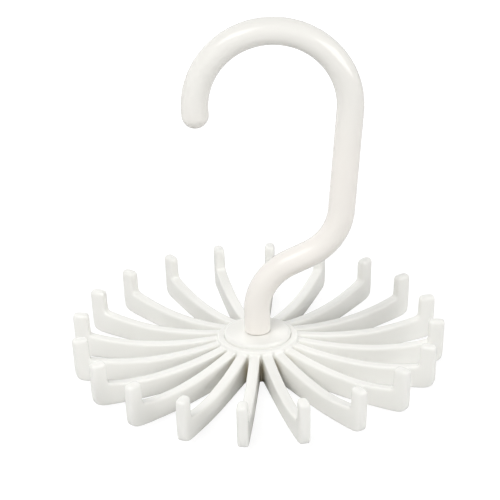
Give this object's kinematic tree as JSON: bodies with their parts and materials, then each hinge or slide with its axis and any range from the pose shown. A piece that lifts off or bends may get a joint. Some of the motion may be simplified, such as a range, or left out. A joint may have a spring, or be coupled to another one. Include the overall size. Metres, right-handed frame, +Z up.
{
  "type": "rotating tie hanger",
  "caption": "Hanging tie rack: a bent round-rod hook whose foot carries a turning wheel of thin dished arms with upright finger ends.",
  "frame": {"origin": "on the wheel's spin axis, in the plane of the hub's flat underside", "axes": "+Z up along the spin axis, towards the hook's crown; +X towards the hook's shank, so that the hook lies in the XZ plane and its open mouth faces -X; +Y to the back of the hook"},
  "size_m": [0.1396, 0.1396, 0.1352],
  "materials": {
    "hook_white": "glossy moulded white, slightly warm",
    "wheel_white": "satin-gloss moulded white",
    "bush_white": "satin-gloss moulded white",
    "zinc_steel": "bright zinc plate"
  },
  "bodies": {
    "root": {"hook": "hook_white", "retaining_washer": "zinc_steel", "retaining_screw": "zinc_steel"},
    "wheel": {"wheel_hub": "wheel_white", "hub_bush": "bush_white", "arm_01": "wheel_white", "arm_02": "wheel_white", "arm_03": "wheel_white", "arm_04": "wheel_white", "arm_05": "wheel_white", "arm_06": "wheel_white", "arm_07": "wheel_white", "arm_08": "wheel_white", "arm_09": "wheel_white", "arm_10": "wheel_white", "arm_11": "wheel_white", "arm_12": "wheel_white", "arm_13": "wheel_white", "arm_14": "wheel_white", "arm_15": "wheel_white", "arm_16": "wheel_white", "arm_17": "wheel_white", "arm_18": "wheel_white", "arm_19": "wheel_white", "arm_20": "wheel_white"}
  },
  "joints": [
    {"name": "wheel_spin", "type": "hinge", "parent": "root", "child": "wheel", "pos_m": [0, 0, 0], "axis": [0, 0, 1], "continuous": true}
  ]
}
